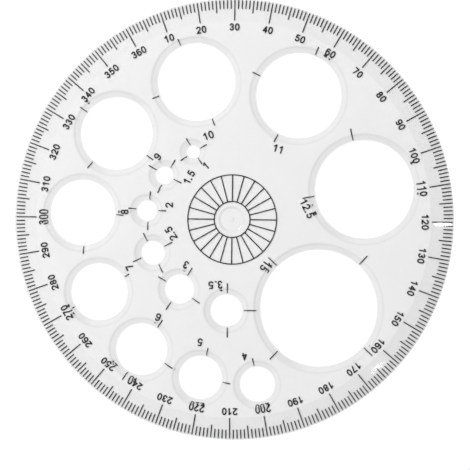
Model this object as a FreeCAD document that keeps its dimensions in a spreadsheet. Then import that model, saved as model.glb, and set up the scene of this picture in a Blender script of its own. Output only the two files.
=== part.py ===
import FreeCAD, Part
import math
import os
import Sketcher

# Circle template: one clear moulded disc with sixteen bevelled circular openings, a 360 degree scale
# printed round its rim, a rosette of rays at its centre and a crosshair and a number at each opening.
#
# Frame: the disc lies flat on Z = 0 with its bevels upwards. The origin is the centre of the underside,
# and +Y points at the 30 degree graduation. All bearings are clockwise from +Y, seen from above.
# The print is on the underside and reads correctly from above, through the plastic. Each printed figure
# fills a shallow hot-stamped impression, so that it ends flush with the underside.

Vector = FreeCAD.Vector
Z_AXIS = Vector(0, 0, 1)

DRIVING_SIZES = {
    # moulded disc
    "disc_radius": 57.5,
    "plate_thickness": 2.2,
    "rim_thickness": 1.1,
    "rim_bevel_radius": 51.7,
    "rim_round": 0.25,
    # edge of every opening: a thin lip, then a bevel that rises to the top face
    "lip_thickness": 0.8,
    "lip_width": 0.35,
    "bevel_width": 0.95,
    "crest_round": 0.35,
    # gate well in the middle of the top face, with a sloping wall, and the stub of the gate in it
    "gate_well_radius": 3.35,
    "gate_well_depth": 0.4,
    "gate_well_slope": 0.45,
    "gate_well_round": 0.3,
    "gate_stub_radius": 0.55,
    "gate_stub_height": 0.25,
    # print
    "print_depth": 0.05,
    "line_width": 0.28,
    "numeral_line_width": 0.34,
    "scale_outer_radius": 57.15,
    "one_degree_radius": 54.85,
    "five_degree_radius": 53.85,
    "ten_degree_radius": 51.8,
    "degree_number_radius": 50.2,
    "degree_number_height": 1.9,
    "circle_number_height": 2.05,
    "rosette_inner_radius": 4.7,
    "rosette_outer_radius": 11.65,
    "crosshair_gap": 0.4,
}

# The scale's 360 graduation stands this far round from +Y.
SCALE_ZERO_BEARING = -30

# Size mark of each opening, which is the radius in millimetres that a pen draws through it, then:
# opening diameter; distance and bearing of its centre; bearing of its crosshair's first arm, the one
# towards the middle of the disc; reach of the crosshair beyond the opening; how far the crosshair is
# printed to the right of the opening's centre and above it, because print and moulding don't quite
# register; distance and bearing of the number's centre; and the bearing that the top of the number faces.
CIRCLE_COLUMNS = ("opening", "centre_radius", "centre_bearing", "crosshair_bearing", "crosshair_reach",
                  "crosshair_right", "crosshair_up", "number_radius", "number_bearing", "number_top")
CIRCLES = {
    "15": (30.5, 32.3, 134.8, 312.5, 3.3, 0.3, 0.5, 14.9, 143.5, 125),
    "12.5": (25.5, 35.3, 76.5, 258, 3.4, -0.55, 0.75, 19.8, 81, 64),
    "11": (22.2, 36.6, 27.7, 204.6, 2.5, -0.45, 0.7, 22.0, 32.5, 17),
    "10": (20.3, 37.1, 344.7, 156, 2.2, -0.35, 0.6, 22.8, 343.3, 340),
    "9": (19.0, 37.9, 305.8, 125, 2.4, -0.8, 0.55, 25.6, 309.2, 308),
    "8": (17.2, 39.5, 271.9, 94, 2.2, 1.0, 0.1, 28.4, 273.3, 270),
    "7": (15.0, 39.9, 240.8, 58.5, 1.8, 0, 0, 29.8, 244.4, 240),
    "6": (13.6, 41.6, 214.3, 33.4, 2.7, 0.45, 0.2, 32.2, 216.6, 205),
    "5": (11.4, 42.2, 190.7, 12, 2.3, 0.3, 0.1, 33.2, 194, 185),
    "4": (9.2, 43.5, 170.5, 347.5, 2.3, 0.1, 0, 35.9, 174, 167),
    "3.5": (8.4, 23.8, 182.8, 359.5, 2.9, 0.2, 0, 17.65, 193.6, 176),
    "3": (7.6, 22.9, 216.5, 31.6, 2.7, -0.25, -0.15, 17.0, 225, 206),
    "2.5": (6.2, 22.6, 246.5, 62.8, 2.7, -0.1, 0.2, 16.5, 256.3, 238),
    "2": (5.3, 22.5, 275.2, 93.7, 2.4, 0.5, 0.25, 17.0, 282, 268),
    "1.5": (4.6, 21.2, 302.2, 117.6, 2.6, 0.65, 0.05, 15.8, 313.5, 297),
    "1": (3.4, 20.4, 329.2, 147.9, 2.3, 0.35, 0, 15.6, 333, 320),
}
# The arms of a crosshair, each a quarter turn clockwise from the one before.
ALL_ARMS = (0, 1, 2, 3)
# Arms that would run into a number or a neighbouring opening are left out of the print.
PRINTED_ARMS = {
    "12.5": (0, 1),
    "11": (0, 1, 2),
    "10": (0, 1, 2),
    "9": (0, 1, 2),
    "8": (0, 1),
    "7": (0, 2),
    "6": (0, 1, 2),
    "5": (0, 1),
    "4": (0,),
    "3.5": (0, 1, 2),
}

# Proportions of the numerals, in units of their height or of the height of their centre lines.
NUMERAL_HALF_WIDTH = 0.29
NUMERAL_ADVANCE = 0.75
POINT_ADVANCE = 0.4
POINT_RADIUS_IN_LINES = 0.65
OVAL_CAP_RADIUS = 0.22

ROSETTE_RAYS = 24
FULL_TURN = 360

# Two heights or radii closer than this are the same one.
SAME_SIZE = 0.01


doc = FreeCAD.newDocument("CircleTemplate")
sheet = doc.addObject("Spreadsheet::Sheet", "Sizes")


def fill_sheet(sizes):
    """Write each size in a row of the sheet, with its name as the cell's alias."""
    for row, (alias, number) in enumerate(sizes.items(), start=1):
        sheet.set("A%d" % row, alias)
        sheet.set("B%d" % row, str(number))
        sheet.setAlias("B%d" % row, alias)


def word(mark):
    """The size mark of an opening as part of a name, such as 12_5 for 12.5."""
    return mark.replace(".", "_")


def circle_sizes(mark):
    """The sheet's names and numbers for one opening and its print."""
    return {"%s_%s" % (column, word(mark)): number for column, number in zip(CIRCLE_COLUMNS, CIRCLES[mark])}


all_sizes = dict(DRIVING_SIZES)
for mark in CIRCLES:
    all_sizes.update(circle_sizes(mark))
fill_sheet(all_sizes)
doc.recompute()


def size(alias):
    """The number in the sheet's cell of that name."""
    return float(getattr(sheet, alias))


def polar(radius, bearing):
    """The point at that distance from the axis and that bearing, clockwise from +Y."""
    angle = math.radians(bearing)
    return Vector(radius * math.sin(angle), radius * math.cos(angle), 0)


# ---------------------------------------------------------------------------------------------------
# Sketch helpers
# ---------------------------------------------------------------------------------------------------

def new_body(label):
    """An empty body that may hold several separate solids."""
    body = doc.addObject("PartDesign::Body", label)
    body.Label = label
    body.AllowCompound = True
    return body


def new_sketch(body, name, role="XY_Plane", height=None):
    """A sketch on one of the body's own origin planes, raised by an expression if one is given."""
    plane = [feature for feature in body.Origin.OriginFeatures if feature.Role == role][0]
    sketch = body.newObject("Sketcher::SketchObject", name)
    sketch.AttachmentSupport = [(plane, "")]
    sketch.MapMode = "FlatFace"
    if height:
        sketch.setExpression("AttachmentOffset.Base.z", height)
    return sketch


def drive(sketch, constraint, name, expression):
    """Add a dimension under a name of its own and bind it to the sheet."""
    index = sketch.addConstraint(constraint)
    sketch.renameConstraint(index, name)
    sketch.setExpression("Constraints." + name, expression)


def sketch_circle(sketch, name, radius, radius_expression, centre=None, centre_expressions=None):
    """A circle with a driven radius, on the sketch's origin or at a driven centre."""
    centre_point = centre or Vector(0, 0, 0)
    geometry = sketch.addGeometry(Part.Circle(centre_point, Z_AXIS, radius))
    drive(sketch, Sketcher.Constraint("Radius", geometry, radius), name + "_radius", radius_expression)
    if centre is None:
        sketch.addConstraint(Sketcher.Constraint("Coincident", geometry, 3, -1, 1))
        return
    across = Sketcher.Constraint("DistanceX", -1, 1, geometry, 3, centre.x)
    drive(sketch, across, name + "_x", centre_expressions[0])
    upwards = Sketcher.Constraint("DistanceY", -1, 1, geometry, 3, centre.y)
    drive(sketch, upwards, name + "_y", centre_expressions[1])


def sketch_outline(sketch, corners):
    """A closed outline. Each corner is a name, its starting point and its two driving expressions; an
    expression of None puts the corner on that axis."""
    points = [Vector(x, y, 0) for _, (x, y), _ in corners]
    count = len(points)
    for index in range(count):
        sketch.addGeometry(Part.LineSegment(points[index], points[(index + 1) % count]))
    for index in range(count):
        sketch.addConstraint(Sketcher.Constraint("Coincident", index, 2, (index + 1) % count, 1))
    for index, (name, (x, y), (x_expression, y_expression)) in enumerate(corners):
        if x_expression is None:
            sketch.addConstraint(Sketcher.Constraint("PointOnObject", index, 1, -2))
        else:
            across = Sketcher.Constraint("DistanceX", -1, 1, index, 1, x)
            drive(sketch, across, name + "_x", x_expression)
        if y_expression is None:
            sketch.addConstraint(Sketcher.Constraint("PointOnObject", index, 1, -1))
        else:
            upwards = Sketcher.Constraint("DistanceY", -1, 1, index, 1, y)
            drive(sketch, upwards, name + "_y", y_expression)


def circular_edges(shape, height, radius_at_least, radius_at_most):
    """Names of the full circles at a height of the shape, with radii in a range."""
    names = []
    for number, edge in enumerate(shape.Edges, start=1):
        if not isinstance(edge.Curve, Part.Circle):
            continue
        at_height = abs(edge.Curve.Center.z - height) < SAME_SIZE
        in_range = radius_at_least - SAME_SIZE < edge.Curve.Radius < radius_at_most + SAME_SIZE
        if at_height and in_range:
            names.append("Edge%d" % number)
    return names


def add_fillet(body, name, base, edges, radius_expression):
    """Round the named edges of the body's last feature."""
    fillet = body.newObject("PartDesign::Fillet", name)
    fillet.Base = (base, edges)
    fillet.setExpression("Radius", radius_expression)
    doc.recompute()
    return fillet


def add_pocket(body, name, sketch, depth_expression=None):
    """Cut the sketch downwards to a depth, or right through, and make sure that it removes material."""
    volume_before = body.Shape.Volume
    pocket = body.newObject("PartDesign::Pocket", name)
    pocket.Profile = sketch
    if depth_expression:
        pocket.setExpression("Length", depth_expression)
    else:
        pocket.Type = "ThroughAll"
    doc.recompute()
    if pocket.Shape.Volume >= volume_before:
        raise RuntimeError(name + " cuts nothing")
    return pocket


# ---------------------------------------------------------------------------------------------------
# Moulded disc
# ---------------------------------------------------------------------------------------------------

def centre_point(mark):
    """Centre of an opening."""
    return polar(size("centre_radius_" + word(mark)), size("centre_bearing_" + word(mark)))


def centre_expressions(mark):
    """Expressions for the X and Y of an opening's centre."""
    radius = "Sizes.centre_radius_" + word(mark)
    bearing = "Sizes.centre_bearing_" + word(mark)
    return "%s * sin(%s)" % (radius, bearing), "%s * cos(%s)" % (radius, bearing)


def openings_sketch(body, name, extra_radius, extra_expression):
    """One circle round the centre of every opening, wider than the opening by an extra radius."""
    sketch = new_sketch(body, name, height="Sizes.plate_thickness")
    for mark in CIRCLES:
        alias = "opening_" + word(mark)
        radius_expression = "Sizes.%s / 2%s" % (alias, extra_expression)
        sketch_circle(sketch, "circle_" + word(mark), size(alias) / 2 + extra_radius, radius_expression,
                      centre_point(mark), centre_expressions(mark))
    doc.recompute()
    return sketch


def moulded_disc():
    """Disc with a bevelled rim, sixteen openings with bevelled edges, and the gate well."""
    body = new_body("moulded_disc")
    thickness = size("plate_thickness")

    profile = new_sketch(body, "disc_profile", "XZ_Plane")
    rim = size("disc_radius")
    sketch_outline(profile, [
        ("underside_centre", (0, 0), (None, None)),
        ("underside_rim", (rim, 0), ("Sizes.disc_radius", None)),
        ("rim_top", (rim, size("rim_thickness")), ("Sizes.disc_radius", "Sizes.rim_thickness")),
        ("bevel_top", (size("rim_bevel_radius"), thickness),
         ("Sizes.rim_bevel_radius", "Sizes.plate_thickness")),
        ("top_centre", (0, thickness), (None, "Sizes.plate_thickness")),
    ])
    blank = body.newObject("PartDesign::Revolution", "disc_blank")
    blank.Profile = profile
    blank.ReferenceAxis = (profile, ["V_Axis"])
    blank.Angle = FULL_TURN
    doc.recompute()

    add_pocket(body, "opening_pocket", openings_sketch(body, "openings", 0, ""))

    bevel_reach = size("lip_width") + size("bevel_width")
    crests = openings_sketch(body, "bevel_crests", bevel_reach, " + Sizes.lip_width + Sizes.bevel_width")
    bevels = add_pocket(body, "opening_bevels", crests, "Sizes.plate_thickness - Sizes.lip_thickness")
    bevels.setExpression("TaperAngle",
                         "-atan(Sizes.bevel_width / (Sizes.plate_thickness - Sizes.lip_thickness))")
    doc.recompute()

    largest_crest = max(size("opening_" + word(mark)) for mark in CIRCLES) / 2 + bevel_reach
    crest_edges = circular_edges(bevels.Shape, thickness, 0, largest_crest)
    crests_rounded = add_fillet(body, "crest_rounding", bevels, crest_edges, "Sizes.crest_round")
    rim_edges = circular_edges(crests_rounded.Shape, size("rim_thickness"), rim, rim)
    add_fillet(body, "rim_rounding", crests_rounded, rim_edges, "Sizes.rim_round")

    well_radius = size("gate_well_radius")
    well_sketch = new_sketch(body, "gate_well_outline", height="Sizes.plate_thickness")
    sketch_circle(well_sketch, "well", well_radius, "Sizes.gate_well_radius")
    well = add_pocket(body, "gate_well", well_sketch, "Sizes.gate_well_depth")
    well.setExpression("TaperAngle", "-atan(Sizes.gate_well_slope / Sizes.gate_well_depth)")
    stub_sketch = new_sketch(body, "gate_stub_outline",
                             height="Sizes.plate_thickness - Sizes.gate_well_depth")
    sketch_circle(stub_sketch, "stub", size("gate_stub_radius"), "Sizes.gate_stub_radius")
    stub = body.newObject("PartDesign::Pad", "gate_stub")
    stub.Profile = stub_sketch
    stub.setExpression("Length", "Sizes.gate_stub_height")
    doc.recompute()
    well_edges = circular_edges(stub.Shape, thickness, well_radius, well_radius)
    body.Tip = add_fillet(body, "gate_well_rounding", stub, well_edges, "Sizes.gate_well_round")
    doc.recompute()
    return body


# ---------------------------------------------------------------------------------------------------
# Print: graduations and rosette
# ---------------------------------------------------------------------------------------------------

def add_line_pad(body, name, inner_expression, outer_expression, inner, outer, bearing):
    """One straight printed line along a bearing, between two distances from the axis."""
    sketch = new_sketch(body, name + "_outline")
    sketch.AttachmentOffset = FreeCAD.Placement(Vector(0, 0, 0), FreeCAD.Rotation(Z_AXIS, -bearing))
    half = size("line_width") / 2
    half_expression = "Sizes.line_width / 2"
    sketch_outline(sketch, [
        ("inner_left", (-half, inner), ("-" + half_expression, inner_expression)),
        ("inner_right", (half, inner), (half_expression, inner_expression)),
        ("outer_right", (half, outer), (half_expression, outer_expression)),
        ("outer_left", (-half, outer), ("-" + half_expression, outer_expression)),
    ])
    pad = body.newObject("PartDesign::Pad", name)
    pad.Profile = sketch
    pad.setExpression("Length", "Sizes.print_depth")
    doc.recompute()
    return pad, sketch


def polar_pattern(body, name, sketch, span, count):
    """A turn about the axis that repeats what it is given."""
    pattern = body.newObject("PartDesign::PolarPattern", name)
    pattern.Axis = (sketch, ["N_Axis"])
    pattern.Angle = span
    pattern.Occurrences = count
    return pattern


def graduations(label, inner_alias, first_bearing, step):
    """Graduation lines of one length, repeated round the rim from a first bearing at an even step."""
    body = new_body(label)
    line, sketch = add_line_pad(body, label + "_line", "Sizes." + inner_alias, "Sizes.scale_outer_radius",
                                size(inner_alias), size("scale_outer_radius"), first_bearing)
    pattern = polar_pattern(body, label + "_ring", sketch, FULL_TURN, FULL_TURN // step)
    pattern.Originals = [line]
    body.Tip = pattern
    doc.recompute()
    return body


def one_degree_graduations():
    """The four short lines between two longer ones, repeated every five degrees."""
    label = "one_degree_lines"
    lines_in_group = 4
    group_step = 5
    body = new_body(label)
    line, sketch = add_line_pad(body, label + "_line", "Sizes.one_degree_radius",
                                "Sizes.scale_outer_radius", size("one_degree_radius"),
                                size("scale_outer_radius"), 1)
    rings = body.newObject("PartDesign::MultiTransform", label + "_ring")
    rings.Originals = [line]
    rings.Transformations = [
        polar_pattern(body, label + "_group", sketch, 1 - lines_in_group, lines_in_group),
        polar_pattern(body, label + "_every_five", sketch, FULL_TURN, FULL_TURN // group_step),
    ]
    body.Tip = rings
    doc.recompute()
    return body


def centre_rosette():
    """Two circles joined by a ray every fifteen degrees."""
    rings = new_body("rosette_circles")
    half = size("line_width") / 2
    sketch = new_sketch(rings, "rosette_circle_outlines")
    for name in ("inner", "outer"):
        alias = "rosette_%s_radius" % name
        for edge, sign in (("inside", -1), ("outside", 1)):
            expression = "Sizes.%s + %d * Sizes.line_width / 2" % (alias, sign)
            sketch_circle(sketch, "%s_%s" % (name, edge), size(alias) + sign * half, expression)
    pad = rings.newObject("PartDesign::Pad", "rosette_circle_pad")
    pad.Profile = sketch
    pad.setExpression("Length", "Sizes.print_depth")
    doc.recompute()

    rays = new_body("rosette_rays")
    ray, ray_sketch = add_line_pad(rays, "rosette_ray", "Sizes.rosette_inner_radius",
                                   "Sizes.rosette_outer_radius", size("rosette_inner_radius"),
                                   size("rosette_outer_radius"), 0)
    fan = polar_pattern(rays, "rosette_fan", ray_sketch, FULL_TURN, ROSETTE_RAYS)
    fan.Originals = [ray]
    rays.Tip = fan
    doc.recompute()

    rosette = doc.addObject("Part::Fuse", "centre_rosette")
    rosette.Base = rings
    rosette.Tool = rays
    rosette.Label = "centre_rosette"
    doc.recompute()
    return rosette


# ---------------------------------------------------------------------------------------------------
# Print: numerals, drawn as a pen line of constant width along simple centre lines
# ---------------------------------------------------------------------------------------------------

def line(*corners):
    """Straight edges through the corners."""
    points = [Vector(x, y, 0) for x, y in corners]
    return [Part.makeLine(start, end) for start, end in zip(points, points[1:])]


def arc(x, y, radius, start, end):
    """An arc about x, y between two angles in degrees, anticlockwise from +X if end is above start."""
    points = []
    for angle in (start, (start + end) / 2, end):
        turn = math.radians(angle)
        points.append(Vector(x + radius * math.cos(turn), y + radius * math.sin(turn), 0))
    return [Part.Arc(*points).toShape()]


def arc_end(x, y, radius, angle):
    """The point where an arc about x, y ends."""
    turn = math.radians(angle)
    return x + radius * math.cos(turn), y + radius * math.sin(turn)


def oval(x, y, half_width, half_height, cap_radius):
    """A closed four-centre oval: two small caps and two long sides, all tangent."""
    cap_height = half_height - cap_radius
    side_radius = (half_width ** 2 + cap_height ** 2 - cap_radius ** 2) / (2 * (half_width - cap_radius))
    side_centre = side_radius - half_width
    turn = math.degrees(math.atan2(cap_height, side_centre))
    right = arc(x - side_centre, y, side_radius, -turn, turn)
    top = arc(x, y + cap_height, cap_radius, turn, 180 - turn)
    left = arc(x + side_centre, y, side_radius, 180 - turn, 180 + turn)
    bottom = arc(x, y - cap_height, cap_radius, 180 + turn, 360 - turn)
    return right + top + left + bottom


def ring(x, y, radius):
    """A closed circle made of two arcs."""
    return arc(x, y, radius, 0, 180) + arc(x, y, radius, 180, 360)


def turned_over(strokes):
    """The same strokes after half a turn about the middle of the numeral."""
    middle = Vector(NUMERAL_HALF_WIDTH, 0.5, 0)
    turned = []
    for stroke in strokes:
        turned.append([edge.rotated(middle, Z_AXIS, 180) for edge in stroke])
    return turned


def numeral_strokes(character):
    """Centre lines of a numeral, one unit high, each stroke a run of joined edges."""
    half = NUMERAL_HALF_WIDTH
    width = 2 * half
    six = [
        ring(half, 0.29, half),
        line((0, 0.29), (0, 0.7)) + arc(half, 0.7, half, 180, 40),
    ]
    upper_end = arc_end(half, 0.71, half, -38)
    five_start = arc_end(0.275, 0.31, 0.305, 135)
    strokes = {
        "0": [oval(half, 0.5, half, 0.5, OVAL_CAP_RADIUS)],
        "1": [line((0.1, 0.75), (0.38, 1), (0.38, 0))],
        "2": [arc(half, 0.71, half, 165, -38) + line(upper_end, (0, 0), (width, 0))],
        "3": [arc(0.28, 0.76, 0.24, 160, -90), arc(0.28, 0.26, 0.26, 90, -160)],
        "4": [line((0.44, 0), (0.44, 1)), line((0.44, 1), (0, 0.3), (0.6, 0.3))],
        "5": [line((0.52, 1), (0.14, 1), five_start) + arc(0.275, 0.31, 0.305, 135, -150)],
        "6": six,
        "7": [line((0, 1), (width, 1), (0.2, 0))],
        "8": [ring(half, 0.76, 0.24), ring(half, 0.265, 0.265)],
        "9": turned_over(six),
    }
    return strokes[character]


def straight_bar(start, end, half_line):
    """A straight pen line with round ends, as a face."""
    along = (end - start).normalize()
    side = Vector(-along.y, along.x, 0) * half_line
    cap = along * half_line
    edges = [
        Part.makeLine(start - side, end - side),
        Part.Arc(end - side, end + cap, end + side).toShape(),
        Part.makeLine(end + side, start + side),
        Part.Arc(start + side, start - cap, start - side).toShape(),
    ]
    return Part.Face(Part.Wire(edges))


def pen_line(edges, half_line):
    """The face that a pen of that half width covers along joined edges."""
    wire = Part.Wire(edges)
    if wire.isClosed():
        outside = Part.Face(wire.makeOffset2D(half_line))
        return outside.cut(Part.Face(wire.makeOffset2D(-half_line)))
    if len(edges) == 1 and isinstance(edges[0].Curve, Part.Line):
        return straight_bar(wire.OrderedVertexes[0].Point, wire.OrderedVertexes[1].Point, half_line)
    return Part.Face(wire.makeOffset2D(half_line, 0, False, False))


def numeral_solid(character, height, line_width, depth):
    """One printed numeral of the given height, with its lower left corner at the origin."""
    half_line = line_width / 2
    if character == ".":
        radius = POINT_RADIUS_IN_LINES * line_width
        return Part.makeCylinder(radius, depth, Vector(half_line, radius, 0))
    scale = height - line_width
    inked = []
    for stroke in numeral_strokes(character):
        scaled = [edge.scaled(scale, Vector(0, 0, 0)) for edge in stroke]
        inked.append(pen_line(scaled, half_line).extrude(Vector(0, 0, depth)))
    numeral = inked[0]
    if len(inked) > 1:
        numeral = inked[0].multiFuse(inked[1:]).removeSplitter()
    return numeral.translated(Vector(half_line, half_line, 0))


def number_solids(text, height, line_width, depth, numerals):
    """The numerals of a number side by side, centred on the origin."""
    advances = [height * (POINT_ADVANCE if character == "." else NUMERAL_ADVANCE) for character in text]
    numeral_width = 2 * NUMERAL_HALF_WIDTH * (height - line_width) + line_width
    last_gap = NUMERAL_ADVANCE * height - numeral_width
    cursor = -(sum(advances) - last_gap) / 2
    solids = []
    for character, advance in zip(text, advances):
        if character not in numerals:
            numerals[character] = numeral_solid(character, height, line_width, depth)
        placed = numerals[character].copy()
        placed.translate(Vector(cursor, -height / 2, 0))
        solids += placed.Solids
        cursor += advance
    return solids


def turned_to(solids, radius, bearing, top_bearing):
    """The solids turned so that their top faces a bearing, and moved to a polar position."""
    placement = FreeCAD.Placement(polar(radius, bearing), FreeCAD.Rotation(Z_AXIS, -top_bearing))
    moved = []
    for solid in solids:
        copy = solid.copy()
        copy.transformShape(placement.toMatrix())
        moved.append(copy)
    return moved


def degree_numbers():
    """A number at every tenth graduation, with its top towards the rim."""
    height = size("degree_number_height")
    stroke = size("numeral_line_width")
    numerals = {}
    solids = []
    for degrees in range(10, 370, 10):
        number = number_solids(str(degrees), height, stroke, size("print_depth"), numerals)
        bearing = degrees + SCALE_ZERO_BEARING
        solids += turned_to(number, size("degree_number_radius"), bearing, bearing)
    feature = doc.addObject("Part::Feature", "degree_numbers")
    feature.Shape = Part.makeCompound(solids)
    feature.Placement = FreeCAD.Placement()
    feature.Label = "degree_numbers"
    return feature


# ---------------------------------------------------------------------------------------------------
# Print: crosshair and number of each opening
# ---------------------------------------------------------------------------------------------------

def crosshair_arm(mark, arm):
    """One line of a crosshair, from just outside the opening to the crosshair's reach. It is moved
    sideways with the crosshair, and its ends stay where they are along its own direction."""
    tag = word(mark)
    box = doc.addObject("Part::Box", "circle_%s_arm_%d" % (tag, arm))
    box.setExpression("Length", "Sizes.line_width")
    box.setExpression("Width", "Sizes.crosshair_reach_%s - Sizes.crosshair_gap" % tag)
    box.setExpression("Height", "Sizes.print_depth")
    bearing = "(Sizes.crosshair_bearing_%s + %d)" % (tag, 90 * arm)
    start = "(Sizes.opening_%s / 2 + Sizes.crosshair_gap)" % tag
    centre_x, centre_y = centre_expressions(mark)
    sideways = "(Sizes.crosshair_right_%s * cos(%s) - Sizes.crosshair_up_%s * sin(%s) - Sizes.line_width / 2)"
    sideways = sideways % (tag, bearing, tag, bearing)
    turn = -(size("crosshair_bearing_" + tag) + 90 * arm)
    box.Placement = FreeCAD.Placement(Vector(0, 0, 0), FreeCAD.Rotation(Z_AXIS, turn))
    box.setExpression("Placement.Base.x",
                      "%s + %s * sin(%s) + %s * cos(%s)" % (centre_x, start, bearing, sideways, bearing))
    box.setExpression("Placement.Base.y",
                      "%s + %s * cos(%s) - %s * sin(%s)" % (centre_y, start, bearing, sideways, bearing))
    return box


def circle_number(mark):
    """The size mark printed beside an opening."""
    tag = word(mark)
    solids = number_solids(mark, size("circle_number_height"), size("numeral_line_width"),
                           size("print_depth"), {})
    feature = doc.addObject("Part::Feature", "circle_%s_number" % tag)
    feature.Shape = Part.makeCompound(solids)
    feature.Placement = FreeCAD.Placement(
        polar(size("number_radius_" + tag), size("number_bearing_" + tag)),
        FreeCAD.Rotation(Z_AXIS, -size("number_top_" + tag)))
    return feature


def circle_marks(mark):
    """Crosshair and number of one opening."""
    pieces = [crosshair_arm(mark, arm) for arm in PRINTED_ARMS.get(mark, ALL_ARMS)]
    pieces.append(circle_number(mark))
    marks = doc.addObject("Part::Compound", "circle_%s_marks" % word(mark))
    marks.Links = pieces
    marks.Label = "circle_%s_marks" % word(mark)
    return marks


# ---------------------------------------------------------------------------------------------------
# Assembly
# ---------------------------------------------------------------------------------------------------

def template_plate(disc, print_objects):
    """The disc with a shallow impression wherever it is printed."""
    impressions = doc.addObject("Part::Compound", "stamped_impressions")
    impressions.Links = print_objects
    plate = doc.addObject("Part::Cut", "template_plate")
    plate.Base = disc
    plate.Tool = impressions
    plate.Refine = False
    plate.Label = "template_plate"
    doc.recompute()
    return plate


def check_objects():
    """Stop if any object of the document has failed."""
    for item in doc.Objects:
        if "Invalid" in item.State or "Error" in item.State:
            raise RuntimeError("%s failed: %s" % (item.Name, item.State))


def check_shape(node):
    """Stop if a sub-part has no shape, or one that isn't made of valid closed solids."""
    shape = node.Shape
    if shape.isNull() or not shape.isValid() or not shape.Solids:
        raise RuntimeError(node.Label + " has no valid shape")


disc = moulded_disc()
printed = [
    one_degree_graduations(),
    graduations("five_degree_lines", "five_degree_radius", 5, 10),
    graduations("ten_degree_lines", "ten_degree_radius", 10, 10),
    degree_numbers(),
    centre_rosette(),
]
printed += [circle_marks(mark) for mark in CIRCLES]
doc.recompute()
nodes = [template_plate(disc, printed)] + printed

check_objects()
for node in nodes:
    check_shape(node)

os.makedirs("parts", exist_ok=True)
for node in nodes:
    node.Shape.exportStep("parts/%s.step" % node.Label)
    box = node.Shape.BoundBox
    print("%-20s %4d solids %10.3f mm3  z %.2f to %.2f" % (
        node.Label, len(node.Shape.Solids), node.Shape.Volume, box.ZMin, box.ZMax))
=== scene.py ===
import math

import bpy
import numpy as np
from mathutils import Matrix, Vector
from mathutils.geometry import delaunay_2d_cdt


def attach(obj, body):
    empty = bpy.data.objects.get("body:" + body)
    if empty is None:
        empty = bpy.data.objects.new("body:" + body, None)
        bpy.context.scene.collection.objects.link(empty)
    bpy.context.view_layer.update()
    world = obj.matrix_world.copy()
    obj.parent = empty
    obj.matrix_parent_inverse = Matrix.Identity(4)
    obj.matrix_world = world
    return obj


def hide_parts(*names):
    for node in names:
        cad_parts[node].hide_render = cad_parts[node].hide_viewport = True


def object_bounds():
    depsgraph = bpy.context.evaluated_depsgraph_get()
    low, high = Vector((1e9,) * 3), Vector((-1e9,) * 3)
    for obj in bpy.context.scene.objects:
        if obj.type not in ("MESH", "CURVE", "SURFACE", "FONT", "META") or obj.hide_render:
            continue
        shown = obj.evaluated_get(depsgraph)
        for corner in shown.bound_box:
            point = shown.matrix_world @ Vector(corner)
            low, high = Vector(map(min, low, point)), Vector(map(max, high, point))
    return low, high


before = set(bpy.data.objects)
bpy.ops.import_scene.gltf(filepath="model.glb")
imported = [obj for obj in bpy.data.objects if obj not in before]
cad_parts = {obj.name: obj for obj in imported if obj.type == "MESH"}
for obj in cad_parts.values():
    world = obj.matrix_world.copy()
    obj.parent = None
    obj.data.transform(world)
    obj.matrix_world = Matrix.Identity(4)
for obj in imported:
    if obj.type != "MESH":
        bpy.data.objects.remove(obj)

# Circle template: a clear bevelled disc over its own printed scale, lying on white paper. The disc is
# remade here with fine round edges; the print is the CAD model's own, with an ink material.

MM = 0.001

# Sizes of the moulding in millimetres, as in the CAD model.
RIM_THICKNESS = 1.1
RIM_BEVEL_RADIUS = 51.7
LIP_THICKNESS = 0.8
LIP_WIDTH = 0.35
BEVEL_WIDTH = 0.95
WELL_RADIUS = 3.35
WELL_DEPTH = 0.4
WELL_SLOPE = 0.45
STUB_RADIUS = 0.55
STUB_HEIGHT = 0.25

# The clear underside stands this far above the underside of the print, so that the ink shows from below.
UNDERSIDE_GAP = 0.01

# Rounds on the edges of the moulding, in millimetres.
UNDERSIDE_ROUND = 0.08
RIM_ROUND = 0.25
RIM_CREST_ROUND = 2.0
CROWN_ROUND = 4.0
LIP_EDGE_ROUND = 0.1
LIP_ROOT_ROUND = 0.12
CREST_ROUND = 0.65
WELL_CREST_ROUND = 0.3
WELL_FLOOR_ROUND = 0.12
STUB_ROUND = 0.12

# The top face rises by this much in a soft crown around each opening's bevel, over this width.
CROWN_RISE = 0.06
CROWN_WIDTH = 0.6

# Width of flat face that is turned with each round, before the rest of the face is filled in.
FLAT_MARGIN = 0.1
CROWN_MARGIN = 0.25

# Angle between neighbouring profile points on a round, the length in millimetres of a step round a circle,
# and the fewest steps that a circle has.
ROUND_STEP_DEGREES = 9
CIRCLE_STEP = 0.65
FEWEST_CIRCLE_STEPS = 96


cad_low, cad_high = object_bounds()
disc_radius = (cad_high.x - cad_low.x) / 2 / MM
thickness = cad_high.z / MM


# ---------------------------------------------------------------------------------------------------
# Openings, read from the CAD disc
# ---------------------------------------------------------------------------------------------------

def lip_circles(plate):
    """The inner circle of every opening's lip: centre x, centre y and radius in millimetres."""
    same_height = 0.02
    points = np.array([vertex.co for vertex in plate.data.vertices]) / MM
    at_lip = np.abs(points[:, 2] - LIP_THICKNESS) < same_height
    corners = {}
    neighbours = {}
    for polygon in plate.data.polygons:
        if not all(at_lip[index] for index in polygon.vertices):
            continue
        keys = [tuple(np.round(points[index, :2], 3)) for index in polygon.vertices]
        for key, index in zip(keys, polygon.vertices):
            corners[key] = points[index, :2]
            neighbours.setdefault(key, set()).update(keys)
    circles = []
    waiting = set(corners)
    while waiting:
        group = set()
        edge = {min(waiting)}
        while edge:
            group |= edge
            edge = set().union(*(neighbours[key] for key in edge)) - group
        waiting -= group
        circles.append(inner_circle(np.array([corners[key] for key in sorted(group)])))
    return sorted(circles, key=lambda circle: -circle[2])


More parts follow.
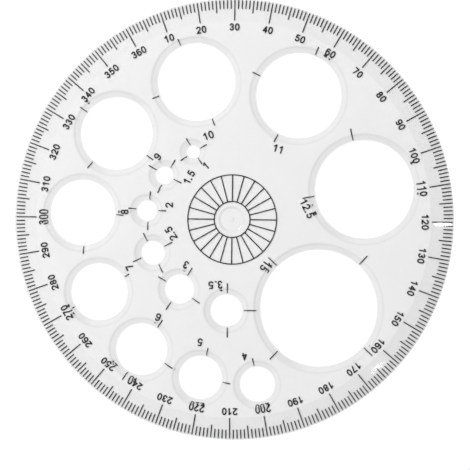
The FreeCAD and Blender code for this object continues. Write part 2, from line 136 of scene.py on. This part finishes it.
def inner_circle(points):
    """The inner one of the two circles, one lip's width apart, that the points lie on."""
    middle = (points.min(0) + points.max(0)) / 2
    distance = np.linalg.norm(points - middle, axis=1)
    inner = points[distance < (distance.min() + distance.max()) / 2]
    # x^2 + y^2 = 2 a x + 2 b y + c for a circle about (a, b)
    system = np.column_stack([2 * inner, np.ones(len(inner))])
    a, b, c = np.linalg.lstsq(system, (inner ** 2).sum(1), rcond=None)[0]
    return a, b, math.sqrt(c + a * a + b * b)


# ---------------------------------------------------------------------------------------------------
# Turned surfaces
# ---------------------------------------------------------------------------------------------------

def rounded_profile(corners):
    """A profile with rounded corners. Each corner is its distance from the axis, its height and its round.
    Returns distance, height and the outward normal's two parts at each point. The outside of the solid is
    on the left of the direction of travel."""
    points = [Vector((radius, height)) for radius, height, _ in corners]
    profile = []

    def add(point, along):
        profile.append((point.x, point.y, -along.y, along.x))

    for index, (point, (_, _, rounding)) in enumerate(zip(points, corners)):
        before = (point - points[index - 1]).normalized() if index else None
        after = (points[index + 1] - point).normalized() if index + 1 < len(points) else None
        if before is None or after is None:
            add(point, after or before)
            continue
        turn = before.angle_signed(after)
        setback = rounding * math.tan(abs(turn) / 2)
        steps = max(2, math.ceil(math.degrees(abs(turn)) / ROUND_STEP_DEGREES))
        start = point - before * setback
        side = math.copysign(1, turn)
        # angle_signed is clockwise, and so is the side that the centre of the round is on
        centre = start + Vector((before.y, -before.x)) * side * rounding
        for step in range(steps + 1):
            rotation = Matrix.Rotation(-turn * step / steps, 2)
            add(centre + rotation @ (start - centre), rotation @ before)
    return profile


class Surface:
    """Points, their normals and the faces between them."""

    def __init__(self):
        self.points = []
        self.normals = []
        self.faces = []

    def add_ring(self, centre, radius, height, outwards, upwards, steps):
        """A circle of points about a centre. Returns their indices."""
        first = len(self.points)
        for step in range(steps):
            turn = 2 * math.pi * step / steps
            across, along = math.cos(turn), math.sin(turn)
            self.points.append((centre[0] + radius * across, centre[1] + radius * along, height))
            self.normals.append((outwards * across, outwards * along, upwards))
        return list(range(first, first + steps))

    def turn(self, centre, profile):
        """The profile turned about a vertical axis. Returns its first and last ring of points."""
        widest = max(radius for radius, _, _, _ in profile)
        steps = max(FEWEST_CIRCLE_STEPS, math.ceil(2 * math.pi * widest / CIRCLE_STEP))
        rings = [self.add_ring(centre, *point, steps) for point in profile]
        for lower, upper in zip(rings, rings[1:]):
            for step in range(steps):
                following = (step + 1) % steps
                self.faces.append((lower[step], upper[step], upper[following], lower[following]))
        return rings[0], rings[-1]

    def fill(self, outline, holes, upwards):
        """A flat face inside the outline and outside the holes, which are rings of points."""
        loops = [outline] + holes
        indices = [index for loop in loops for index in loop]
        flat = [Vector(self.points[index][:2]) for index in indices]
        edges = []
        first = 0
        for loop in loops:
            edges += [(first + step, first + (step + 1) % len(loop)) for step in range(len(loop))]
            first += len(loop)
        inside_outline = 1
        same_point = 1e-6
        _, _, triangles, _, _, _ = delaunay_2d_cdt(flat, edges, [], inside_outline, same_point)
        loop_of = np.repeat(np.arange(len(loops)), [len(loop) for loop in loops])
        for triangle in triangles:
            a, b, c = triangle
            in_hole = loop_of[a] == loop_of[b] == loop_of[c] > 0
            if in_hole:
                continue
            corners = [indices[corner] for corner in (triangle if upwards else reversed(triangle))]
            self.faces.append(tuple(corners))

    def mesh(self, name):
        """The surface as a mesh in metres, with its own normals."""
        mesh = bpy.data.meshes.new(name)
        mesh.from_pydata([tuple(value * MM for value in point) for point in self.points], [], self.faces)
        mesh.validate()
        mesh.polygons.foreach_set("use_smooth", [True] * len(mesh.polygons))
        mesh.normals_split_custom_set_from_vertices(self.normals)
        return mesh


def opening_profile(radius):
    """The edge of an opening, from the underside up over the lip and the bevel to the top face."""
    lip_edge = radius + LIP_WIDTH
    crest = lip_edge + BEVEL_WIDTH
    return rounded_profile([
        (radius + FLAT_MARGIN, UNDERSIDE_GAP, 0),
        (radius, UNDERSIDE_GAP, UNDERSIDE_ROUND),
        (radius, LIP_THICKNESS, LIP_EDGE_ROUND),
        (lip_edge, LIP_THICKNESS, LIP_ROOT_ROUND),
        (crest, thickness - CROWN_RISE, CREST_ROUND),
        (crest + CROWN_WIDTH, thickness, CROWN_ROUND),
        (crest + CROWN_WIDTH + CROWN_MARGIN, thickness, 0),
    ])


def rim_profile():
    """The rim of the disc, from the top face down to the underside."""
    return rounded_profile([
        (RIM_BEVEL_RADIUS - CROWN_MARGIN, thickness, 0),
        (RIM_BEVEL_RADIUS, thickness, RIM_CREST_ROUND),
        (disc_radius, RIM_THICKNESS, RIM_ROUND),
        (disc_radius, UNDERSIDE_GAP, UNDERSIDE_ROUND),
        (disc_radius - FLAT_MARGIN, UNDERSIDE_GAP, 0),
    ])


def well_profile():
    """The gate well in the middle of the top face, from the stub of the gate out to the top face."""
    floor = thickness - WELL_DEPTH
    stub_top = floor + STUB_HEIGHT
    centre_radius = 0.05
    return rounded_profile([
        (centre_radius, stub_top, 0),
        (STUB_RADIUS, stub_top, STUB_ROUND),
        (STUB_RADIUS, floor, WELL_FLOOR_ROUND),
        (WELL_RADIUS - WELL_SLOPE, floor, WELL_FLOOR_ROUND),
        (WELL_RADIUS, thickness, WELL_CREST_ROUND),
        (WELL_RADIUS + WELL_CREST_ROUND + FLAT_MARGIN, thickness, 0),
    ])


def clear_disc(openings):
    """The whole moulding as one closed surface."""
    surface = Surface()
    axis = (0, 0)
    rim_top, rim_bottom = surface.turn(axis, rim_profile())
    stub, well_crest = surface.turn(axis, well_profile())
    surface.faces.append(tuple(stub))
    bottoms = []
    crests = []
    for x, y, radius in openings:
        bottom, crest = surface.turn((x, y), opening_profile(radius))
        bottoms.append(bottom)
        crests.append(crest)
    surface.fill(rim_top, crests + [well_crest], True)
    surface.fill(rim_bottom, bottoms, False)
    return surface.mesh("clear_disc")


# ---------------------------------------------------------------------------------------------------
# Materials
# ---------------------------------------------------------------------------------------------------

class Nodes:
    """A short way to add and join the nodes of a material."""

    def __init__(self, tree):
        self.tree = tree
        tree.nodes.clear()

    def add(self, kind, inputs=None, **settings):
        """A node with some of its properties set, and some of its inputs set or joined."""
        node = self.tree.nodes.new(kind)
        for name, value in settings.items():
            setattr(node, name, value)
        for name, value in (inputs or {}).items():
            if isinstance(value, bpy.types.NodeSocket):
                self.tree.links.new(value, node.inputs[name])
            else:
                node.inputs[name].default_value = value
        return node

    def noise(self, coordinates, scale, detail):
        """A noise pattern's value."""
        inputs = {"Vector": coordinates, "Scale": scale, "Detail": detail}
        return self.add("ShaderNodeTexNoise", inputs).outputs["Fac"]

    def fit(self, value, low, high, to_low, to_high):
        """The value, moved from one range to another."""
        inputs = {"Value": value, "From Min": low, "From Max": high, "To Min": to_low, "To Max": to_high}
        return self.add("ShaderNodeMapRange", inputs).outputs["Result"]

    def math(self, operation, first, second=0.0):
        """One step of arithmetic on one or two values."""
        return self.add("ShaderNodeMath", {0: first, 1: second}, operation=operation).outputs["Value"]

    def grey(self, value):
        """A grey of that brightness."""
        parts = {part: value for part in ("Red", "Green", "Blue")}
        return self.add("ShaderNodeCombineColor", parts).outputs["Color"]


def new_material(name):
    """An empty material, its nodes and its object coordinates."""
    material = bpy.data.materials.new(name)
    material.use_nodes = True
    nodes = Nodes(material.node_tree)
    coordinates = nodes.add("ShaderNodeTexCoord").outputs["Object"]
    return material, nodes, coordinates


# How much of the light a flat face of the plastic lets through, and how far that varies either way.
CLEARNESS = 0.86
CLOUDINESS = 0.006

# Painted shade: how much darker the colour of a bevel of an opening or of the rim is painted when it slopes
# away from the main light, the part of that for one that faces the light, and the width over which the rim
# takes over, in millimetres.
BEVEL_PAINTED_SHADE = 0.33
RIM_PAINTED_SHADE = 0.16
LIT_SIDE = 0.4
RIM_BLEND = 1

# Upward part of a face's normal. The painted shade comes in between a flat face and a bevel, and goes down
# again to a part of itself between a steep face and a wall.
FLAT_LEVEL = 0.9998
BEVEL_LEVEL = 0.994
STEEP_LEVEL = 0.9
WALL_LEVEL = 0.6
WALL_PAINTED_SHADE = 0.75

# Roughness of the plastic where it is clean and where it is handled, and what a scratch adds to it.
CLEAN_ROUGHNESS = 0.01
HANDLED_ROUGHNESS = 0.035
SCRATCH_ROUGHNESS = 0.06

# The noise that makes the scratches is stretched by these amounts, so they run along X.
SCRATCH_STRETCH = (90, 2600, 90)

# The least and most that one face passes on to the paper.
LEAST_PASSED = 0.93
MOST_PASSED = 0.985

# Towards the middle of the main light.
LIGHT_DIRECTION = Vector((-0.76, 0.44, 0.47)).normalized()


def clear_plastic():
    """Clear polystyrene, faintly cloudy, with handling marks and hairline scratches. Painted shade darkens
    the colour of a bevel, above all of one that slopes away from the main light. The paper under it gets
    nearly all of the light."""
    material, nodes, coordinates = new_material("clear_polystyrene")
    handled = nodes.fit(nodes.noise(coordinates, 180, 6.0), 0.35, 0.75, CLEAN_ROUGHNESS, HANDLED_ROUGHNESS)
    along_scratches = nodes.add("ShaderNodeVectorMath", {0: coordinates, 1: SCRATCH_STRETCH},
                                operation="MULTIPLY").outputs["Vector"]
    scratched = nodes.fit(nodes.noise(along_scratches, 1.0, 2.0), 0.66, 0.72, 0, SCRATCH_ROUGHNESS)
    roughness = nodes.math("ADD", handled, scratched)
    bump = nodes.add("ShaderNodeBump", {"Strength": 0.02, "Distance": 0.0002,
                                        "Height": nodes.noise(coordinates, 60, 2.0)})
    geometry = nodes.add("ShaderNodeNewGeometry").outputs
    upwards = nodes.add("ShaderNodeSeparateXYZ", {"Vector": geometry["Normal"]}).outputs["Z"]
    level = nodes.math("ABSOLUTE", upwards)
    # painted shade: the bevels' colour is darkened by their slope and by how far they turn from the main
    # light
    slope = nodes.math("MULTIPLY", nodes.fit(level, BEVEL_LEVEL, FLAT_LEVEL, 1, 0),
                       nodes.fit(level, WALL_LEVEL, STEEP_LEVEL, WALL_PAINTED_SHADE, 1))
    towards_light = nodes.add("ShaderNodeVectorMath", {0: geometry["Normal"], 1: LIGHT_DIRECTION},
                              operation="DOT_PRODUCT").outputs["Value"]
    outwards = nodes.fit(geometry["Backfacing"], 0, 1, 1, -1)
    turned_away = nodes.fit(nodes.math("MULTIPLY", towards_light, outwards), 0.25, 0.55, 1, LIT_SIDE)
    from_axis = nodes.add("ShaderNodeVectorMath", {0: coordinates}, operation="LENGTH").outputs["Value"]
    most = nodes.fit(from_axis, (RIM_BEVEL_RADIUS - RIM_BLEND) * MM, RIM_BEVEL_RADIUS * MM,
                     BEVEL_PAINTED_SHADE, RIM_PAINTED_SHADE)
    painted_shade = nodes.math("MULTIPLY", slope, nodes.math("MULTIPLY", turned_away, most))
    cloudy = nodes.fit(nodes.noise(coordinates, 45, 4.0), 0.35, 0.65,
                       CLEARNESS - CLOUDINESS, CLEARNESS + CLOUDINESS)
    # the colour: random cloudiness, times the painted shade on the bevels
    clear = nodes.math("MULTIPLY", cloudy, nodes.math("SUBTRACT", 1, painted_shade))
    plastic = nodes.add("ShaderNodeBsdfPrincipled", {
        "Base Color": nodes.grey(clear),
        "Roughness": roughness,
        "IOR": 1.57,
        "Transmission Weight": 1.0,
        "Normal": bump.outputs["Normal"],
    })
    # a ray on its way up to a lamp meets every face of the plastic from below
    passed = nodes.fit(towards_light, -0.55, -0.2, MOST_PASSED, LEAST_PASSED)
    through = nodes.add("ShaderNodeBsdfTransparent", {"Color": nodes.grey(passed)})
    path = nodes.add("ShaderNodeLightPath")
    surface = plastic.outputs["BSDF"]
    # Camera rays and those refracted from them meet the plastic. Shadow rays and rays scattered by the
    # paper go straight through it. So do mirrored ones, or the bevels would have black patches from low
    # angles. The disc is a little paler for it.
    for ray in ("Is Glossy Ray", "Is Diffuse Ray", "Is Shadow Ray"):
        mix = nodes.add("ShaderNodeMixShader", {0: path.outputs[ray], 1: surface, 2: through.outputs["BSDF"]})
        surface = mix.outputs["Shader"]
    nodes.add("ShaderNodeOutputMaterial", {"Surface": surface})
    return material


def printed_ink():
    """Hot-stamped ink: near black, a little uneven where the film is thin."""
    material, nodes, coordinates = new_material("printed_ink")
    film = nodes.noise(coordinates, 2500, 4.0)
    colours = nodes.add("ShaderNodeMix", {"Factor": nodes.fit(film, 0.35, 0.7, 0, 1),
                                          "A": (0.005, 0.005, 0.006, 1), "B": (0.018, 0.018, 0.020, 1)},
                        data_type="RGBA")
    bump = nodes.add("ShaderNodeBump", {"Strength": 0.3, "Distance": 0.00002, "Height": film})
    ink = nodes.add("ShaderNodeBsdfPrincipled", {
        "Base Color": colours.outputs["Result"],
        "Roughness": nodes.fit(film, 0.3, 0.7, 0.5, 0.75),
        "Specular IOR Level": 0.25,
        "Normal": bump.outputs["Normal"],
    })
    nodes.add("ShaderNodeOutputMaterial", {"Surface": ink.outputs["BSDF"]})
    return material


def white_paper():
    """Smooth white card with a faint tooth."""
    material, nodes, coordinates = new_material("white_paper")
    tooth = nodes.noise(coordinates, 900, 5.0)
    paper = nodes.add("ShaderNodeBsdfPrincipled", {
        "Base Color": nodes.grey(nodes.fit(tooth, 0.3, 0.7, 0.93, 0.95)),
        "Roughness": 0.9,
        "Specular IOR Level": 0.0,
    })
    nodes.add("ShaderNodeOutputMaterial", {"Surface": paper.outputs["BSDF"]})
    return material


# ---------------------------------------------------------------------------------------------------
# Camera, light and floor
# ---------------------------------------------------------------------------------------------------

CAMERA_PLACE = Vector((54.75, 3.0, 535.8)) * MM


def add_camera():
    """The camera stands almost straight above the template, a little to its right."""
    camera = bpy.data.cameras.new("camera")
    camera.sensor_width = 36.0
    camera.lens = 157.8
    camera.clip_start = 0.01
    camera.clip_end = 10.0
    holder = bpy.data.objects.new("camera", camera)
    across = Vector((0.9949, 0.01322, -0.10046))
    up = Vector((-0.01325, 0.99989, -0.0118))
    back = across.cross(up)
    turn = Matrix((across, up, back)).transposed()
    holder.matrix_world = Matrix.Translation(CAMERA_PLACE) @ turn.to_4x4()
    bpy.context.scene.collection.objects.link(holder)
    bpy.context.scene.camera = holder


# How far off the lamps of the small glints stand, in metres.
GLINT_DISTANCE = 1.0

# Glints on the rim's bevel: bearing in degrees, and in millimetres the distance from the axis, the width
# along the edge and the depth across it.
RIM_GLINTS = {
    "glint_right": (90.6, 54.8, 1.0, 4.6),
    "glint_low": (134.6, 53.8, 4.4, 0.45),
}
RIM_GLINT_BRIGHTNESS = 15

# The strength of the surround away from the main light and towards it, and the part of it left overhead.
SURROUND_FAR = 0.75
SURROUND_NEAR = 1.15
SURROUND_OVERHEAD = 0.3


def add_area_light(name, direction, distance, width, height, power):
    """A soft box that faces the template."""
    light = bpy.data.lights.new(name, "AREA")
    light.shape = "RECTANGLE"
    light.size = width
    light.size_y = height
    light.energy = power
    holder = bpy.data.objects.new(name, light)
    holder.location = direction.normalized() * distance
    holder.rotation_mode = "QUATERNION"
    holder.rotation_quaternion = direction.to_track_quat("Z", "Y")
    # it lights the paper, but doesn't blot out the print where the plastic would mirror it
    holder.visible_glossy = False
    holder.visible_transmission = False
    bpy.context.scene.collection.objects.link(holder)


def add_glint(name, bearing, radius, height, slope, width, depth, brightness):
    """A small lamp that a cone about the disc's axis mirrors: a bright spot at a bearing clockwise from +Y,
    a distance from the axis and a height. The cone falls outwards by the slope, or inwards if that is
    negative. The spot's width is along the cone's edge and its depth across it, in millimetres."""
    turn = math.radians(bearing)
    outwards = Vector((math.sin(turn), math.cos(turn), 0))
    along_edge = Vector((outwards.y, -outwards.x, 0))
    facing = outwards * math.sin(slope) + Vector((0, 0, math.cos(slope)))
    spot = (outwards * radius + Vector((0, 0, height))) * MM
    to_camera = CAMERA_PLACE - spot
    mirrored = (-to_camera.normalized()).reflect(facing)
    # from one end of the spot to the other, the mirrored line of sight swings by the parallax on both
    # legs, and along the edge also by twice the turn of the cone
    parallax = 1 / to_camera.length + 1 / GLINT_DISTANCE
    lamp = bpy.data.lights.new(name, "AREA")
    lamp.shape = "ELLIPSE"
    lamp.size = width * MM * GLINT_DISTANCE * (parallax + 2 * abs(math.sin(slope)) / (radius * MM))
    lamp.size_y = depth * MM * GLINT_DISTANCE * parallax
    lamp.energy = brightness * math.pi * math.pi / 4 * lamp.size * lamp.size_y
    across = mirrored.cross(along_edge).normalized()
    axes = Matrix((across.cross(mirrored), across, mirrored)).transposed()
    holder = bpy.data.objects.new(name, lamp)
    holder.matrix_world = Matrix.Translation(spot + mirrored * GLINT_DISTANCE) @ axes.to_4x4()
    holder.visible_diffuse = False
    holder.visible_transmission = False
    bpy.context.scene.collection.objects.link(holder)


def add_glints():
    """Bright spots on the rim's bevel, at 120 and 165 on the scale, and an arc in the gate well."""
    rim_slope = math.atan2(thickness - RIM_THICKNESS, disc_radius - RIM_BEVEL_RADIUS)
    for name, (bearing, radius, width, depth) in RIM_GLINTS.items():
        height = thickness - (radius - RIM_BEVEL_RADIUS) * math.tan(rim_slope)
        add_glint(name, bearing, radius, height, rim_slope, width, depth, RIM_GLINT_BRIGHTNESS)
    well_slope = -math.atan2(WELL_DEPTH, WELL_SLOPE)
    middle = WELL_RADIUS - WELL_SLOPE / 2
    # the lamp is deeper than the slope, to allow for the rounds at the slope's edges
    add_glint("glint_well", bearing=136, radius=middle, height=thickness - WELL_DEPTH / 2,
              slope=well_slope, width=4.2, depth=12, brightness=3)


def add_studio():
    """White floor, a soft main light from the upper left and a pale surround, brighter on that side."""
    reach = 3.0
    floor_height = -0.05 * MM
    mesh = bpy.data.meshes.new("floor")
    corners = [(-reach, -reach), (reach, -reach), (reach, reach), (-reach, reach)]
    mesh.from_pydata([(x, y, floor_height) for x, y in corners], [], [(0, 1, 2, 3)])
    floor = bpy.data.objects.new("floor", mesh)
    floor.data.materials.append(white_paper())
    bpy.context.scene.collection.objects.link(floor)
    add_area_light("main_light", LIGHT_DIRECTION, distance=1.0, width=2.4, height=0.9, power=22)
    add_glints()
    world = bpy.data.worlds.new("surround")
    bpy.context.scene.world = world
    world.use_nodes = True
    nodes = Nodes(world.node_tree)
    direction = nodes.add("ShaderNodeTexCoord").outputs["Generated"]
    towards_light = nodes.add("ShaderNodeVectorMath", {0: direction, 1: LIGHT_DIRECTION},
                              operation="DOT_PRODUCT").outputs["Value"]
    upwards = nodes.add("ShaderNodeSeparateXYZ", {"Vector": direction}).outputs["Z"]
    strength = nodes.math("MULTIPLY", nodes.fit(towards_light, -0.6, 0.9, SURROUND_FAR, SURROUND_NEAR),
                          nodes.fit(upwards, 0.35, 0.97, 1.0, SURROUND_OVERHEAD))
    background = nodes.add("ShaderNodeBackground", {"Color": (1, 1, 1, 1), "Strength": strength})
    nodes.add("ShaderNodeOutputWorld", {"Surface": background.outputs["Background"]})


# ---------------------------------------------------------------------------------------------------
# The template
# ---------------------------------------------------------------------------------------------------

scene = bpy.context.scene
scene.view_settings.view_transform = "Standard"
scene.cycles.caustics_reflective = False
scene.cycles.caustics_refractive = False

add_camera()
add_studio()

plate = bpy.data.objects.new("clear_disc", clear_disc(lip_circles(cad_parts["template_plate"])))
plate.data.materials.append(clear_plastic())
scene.collection.objects.link(plate)
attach(plate, "root")
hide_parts("template_plate")

ink_material = printed_ink()
for name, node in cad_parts.items():
    if name != "template_plate":
        node.data.materials.clear()
        node.data.materials.append(ink_material)
